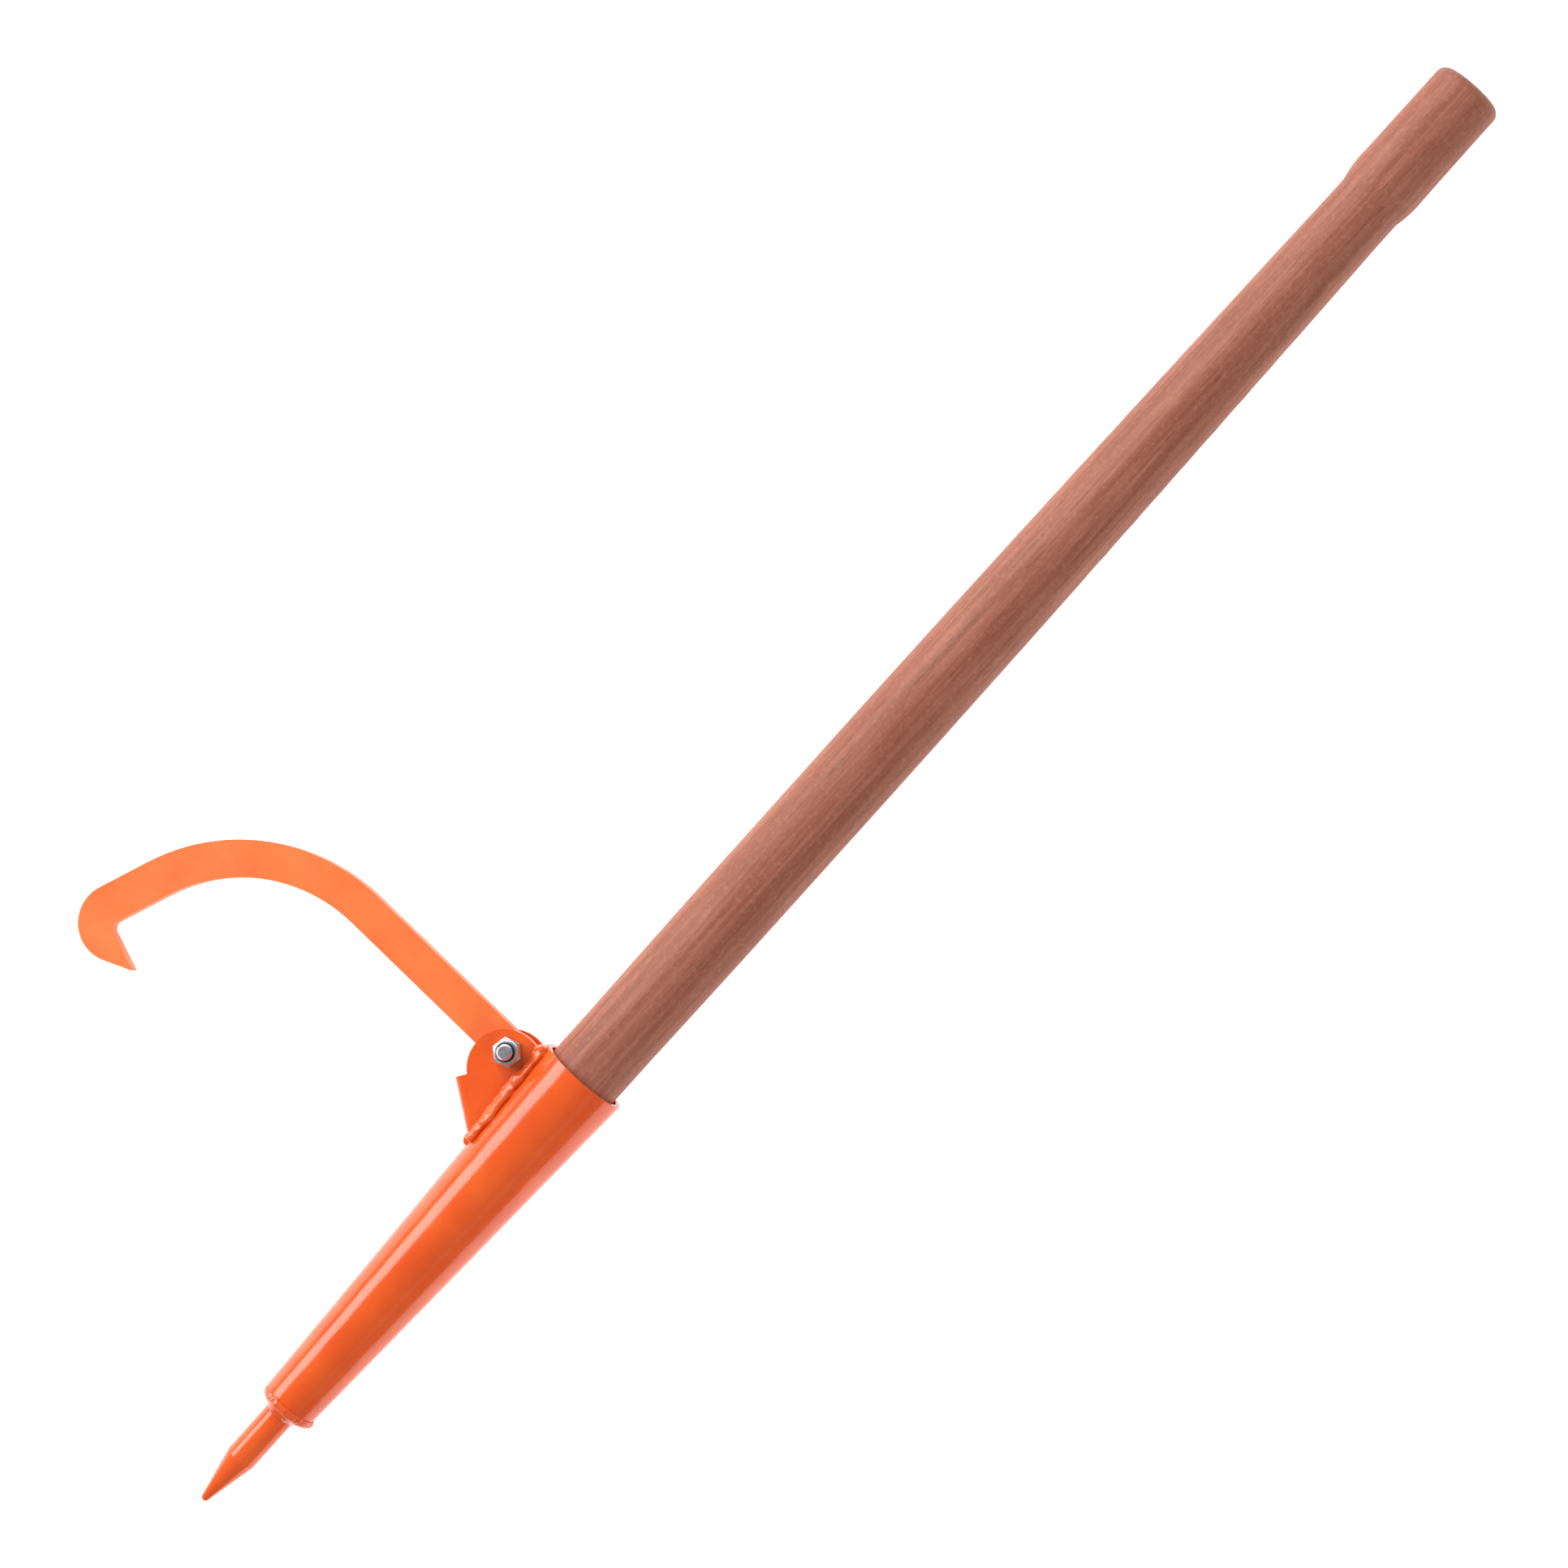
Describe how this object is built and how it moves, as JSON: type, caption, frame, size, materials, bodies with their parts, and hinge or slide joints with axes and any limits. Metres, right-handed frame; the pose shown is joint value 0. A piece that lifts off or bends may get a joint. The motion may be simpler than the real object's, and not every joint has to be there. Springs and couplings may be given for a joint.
{
  "type": "peavey",
  "caption": "Log-rolling lever: a turned wooden handle in a tapered steel socket with a spike, and a curved hook that swings in a bracket welded to the socket.",
  "frame": {"origin": "on the handle's axis, in the plane of the socket's mouth", "axes": "+X along the handle towards the grip, +Y towards the hook at rest, +Z towards the side that carries the nut; the hook lies in the XY plane"},
  "size_m": [0.9134, 0.2655, 0.0458],
  "materials": {
    "stained_wood": "reddish-brown stain under a thin satin varnish",
    "orange_paint": "glossy orange powder coat",
    "hook_paint": "satin, slightly paler orange powder coat",
    "zinc_steel": "bright zinc plate",
    "nylon": "dark blue nylon"
  },
  "bodies": {
    "lever": {"handle": "stained_wood", "socket": "orange_paint", "seam_weld": "orange_paint", "closing_ring": "orange_paint", "nose_weld": "orange_paint", "spike": "orange_paint", "spike_weld": "orange_paint", "socket_screw": "zinc_steel", "hook_bracket": "orange_paint", "bracket_weld_near": "orange_paint", "bracket_weld_far": "orange_paint", "bracket_weld_front": "orange_paint", "pivot_bolt": "zinc_steel", "lock_nut": "zinc_steel", "nut_insert": "nylon"},
    "hook_arm": {"hook": "hook_paint"}
  },
  "joints": [
    {"name": "hook_pivot", "type": "hinge", "parent": "lever", "child": "hook_arm", "pos_m": [-0.0153, 0.03365, 0], "axis": [0, 0, 1], "range_deg": [-91, 47.5]}
  ]
}
